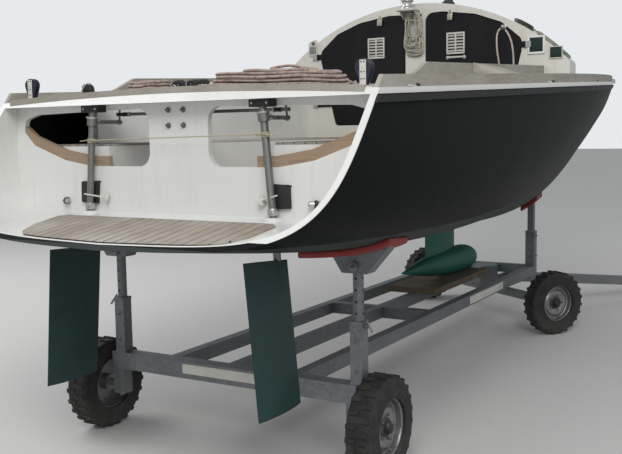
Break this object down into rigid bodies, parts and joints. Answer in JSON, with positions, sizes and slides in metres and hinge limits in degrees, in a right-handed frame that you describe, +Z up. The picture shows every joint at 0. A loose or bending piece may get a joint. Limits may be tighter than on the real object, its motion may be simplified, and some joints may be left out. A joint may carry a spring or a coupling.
{
  "type": "daysailer on a yard trailer",
  "caption": "Open-transom keelboat daysailer with raised bulb keel, twin rudders and arched coachroof, laid up without its mast on a galvanised yard trailer.",
  "frame": {"origin": "on the floor under the middle of the whole, midway between its ends and its sides", "axes": "+Y to the bow, +X to starboard, +Z up"},
  "size_m": [2.6584, 9.6578, 2.518],
  "materials": {
    "topsides": "gloss gelcoat",
    "antifouling": "matt paint",
    "keel_paint": "matt paint",
    "white": "gelcoat",
    "cream": "gelcoat",
    "teak": "weathered",
    "strake": "plain",
    "smoked": "smoked sheet",
    "stainless": "brushed",
    "black": "plain",
    "galvanised": "hot-dip galvanised",
    "red_pad": "vinyl",
    "timber": "rough sawn",
    "tyre": "rubber",
    "rim": "silver",
    "rope": "laid rope",
    "brass": "plain"
  },
  "bodies": {
    "boat_and_trailer": {"keel_bulb": "keel_paint", "keel_fin": "keel_paint", "hull_topsides": "topsides", "hull_bottom": "antifouling", "deck": "white", "transom_wall": "white", "transom_sills": "teak", "stern_skin": "white", "swim_platform": "white", "platform_teak": "teak", "cockpit_moulding": "white", "cockpit_teak": "teak", "toe_rail": "teak", "rubbing_strake": "strake", "cockpit_coamings": "teak", "coachroof": "cream", "cabin_bulkhead": "cream", "mast_step": "stainless", "fore_hatch": "smoked", "stem_fitting": "stainless", "keel_timber": "timber", "trailer_frame": "galvanised", "helm_seats": "teak", "cabin_berths": "white", "winches": "stainless", "rudder_bearings": "black", "aft_blocks": "black", "rope_hank": "rope", "rope_coil": "rope", "rope_pillar": "rope", "rope_roof": "rope", "posts": "galvanised", "hull_pads": "red_pad", "front_posts": "galvanised", "front_pads": "red_pad", "door_hinges": "stainless"},
    "front_axle": {"front_axle": "galvanised"},
    "drawbar": {"drawbar": "galvanised"},
    "tie_rod": {"tie_rod": "stainless"},
    "rear_wheel_port": {"rear_tyre_port": "tyre", "rear_rim_port": "rim"},
    "front_wheel_port": {"front_tyre_port": "tyre", "front_rim_port": "rim"},
    "rudder_port": {"rudder_port": "keel_paint", "stock_port": "stainless"},
    "door_port": {"door_port": "smoked", "vent_port": "stainless", "hasp_port": "brass"},
    "rear_wheel_starboard": {"rear_tyre_starboard": "tyre", "rear_rim_starboard": "rim"},
    "front_wheel_starboard": {"front_tyre_starboard": "tyre", "front_rim_starboard": "rim"},
    "rudder_starboard": {"rudder_starboard": "keel_paint", "stock_starboard": "stainless"},
    "door_starboard": {"door_starboard": "smoked", "vent_starboard": "stainless", "hasp_starboard": "brass", "rope_loop": "rope"}
  },
  "joints": [
    {"name": "rear_wheel_spin_port", "type": "hinge", "parent": "boat_and_trailer", "child": "rear_wheel_port", "pos_m": [-0.9374, -3.9161, 0.244], "axis": [1, 0, 0], "continuous": true},
    {"name": "rear_wheel_spin_starboard", "type": "hinge", "parent": "boat_and_trailer", "child": "rear_wheel_starboard", "pos_m": [0.7466, -3.9161, 0.244], "axis": [1, 0, 0], "continuous": true},
    {"name": "front_steer", "type": "hinge", "parent": "boat_and_trailer", "child": "front_axle", "pos_m": [-0.0954, -0.1261, 0.3], "axis": [0, 0, 1], "range_deg": [-5, 65]},
    {"name": "front_wheel_spin_port", "type": "hinge", "parent": "front_axle", "child": "front_wheel_port", "pos_m": [-0.82495, 0.36599, 0.244], "axis": [0.829, -0.5592, 0], "continuous": true},
    {"name": "front_wheel_spin_starboard", "type": "hinge", "parent": "front_axle", "child": "front_wheel_starboard", "pos_m": [0.63415, -0.61819, 0.244], "axis": [0.829, -0.5592, 0], "continuous": true},
    {"name": "drawbar_lift", "type": "hinge", "parent": "front_axle", "child": "drawbar", "pos_m": [0.08354, 0.13919, 0.3], "axis": [0.829, -0.5592, 0], "range_deg": [0, 24]},
    {"name": "rudder_turn_port", "type": "hinge", "parent": "boat_and_trailer", "child": "rudder_port", "pos_m": [-0.5824, -4.3031, 1.738], "axis": [0.0889, 0, 0.996], "range_deg": [-35, 35]},
    {"name": "rudder_turn_starboard", "type": "hinge", "parent": "boat_and_trailer", "child": "rudder_starboard", "pos_m": [0.3916, -4.3031, 1.738], "axis": [-0.0889, 0, 0.996], "range_deg": [-35, 35]},
    {"name": "tie_rod_turn", "type": "hinge", "parent": "rudder_port", "child": "tie_rod", "pos_m": [-0.58578, -4.1131, 1.70015], "axis": [0.0889, 0, 0.996], "range_deg": [-35, 35]},
    {"name": "door_swing_port", "type": "hinge", "parent": "boat_and_trailer", "child": "door_port", "pos_m": [-0.8854, -1.5941, 2], "axis": [0, 0, -1], "range_deg": [0, 85]},
    {"name": "door_swing_starboard", "type": "hinge", "parent": "boat_and_trailer", "child": "door_starboard", "pos_m": [0.6946, -1.5941, 2], "axis": [0, 0, 1], "range_deg": [0, 85]}
  ],
  "couplings": [
    {"joint": "rudder_turn_starboard", "follows": "rudder_turn_port", "ratio": 1},
    {"joint": "tie_rod_turn", "follows": "rudder_turn_port", "ratio": -1}
  ]
}
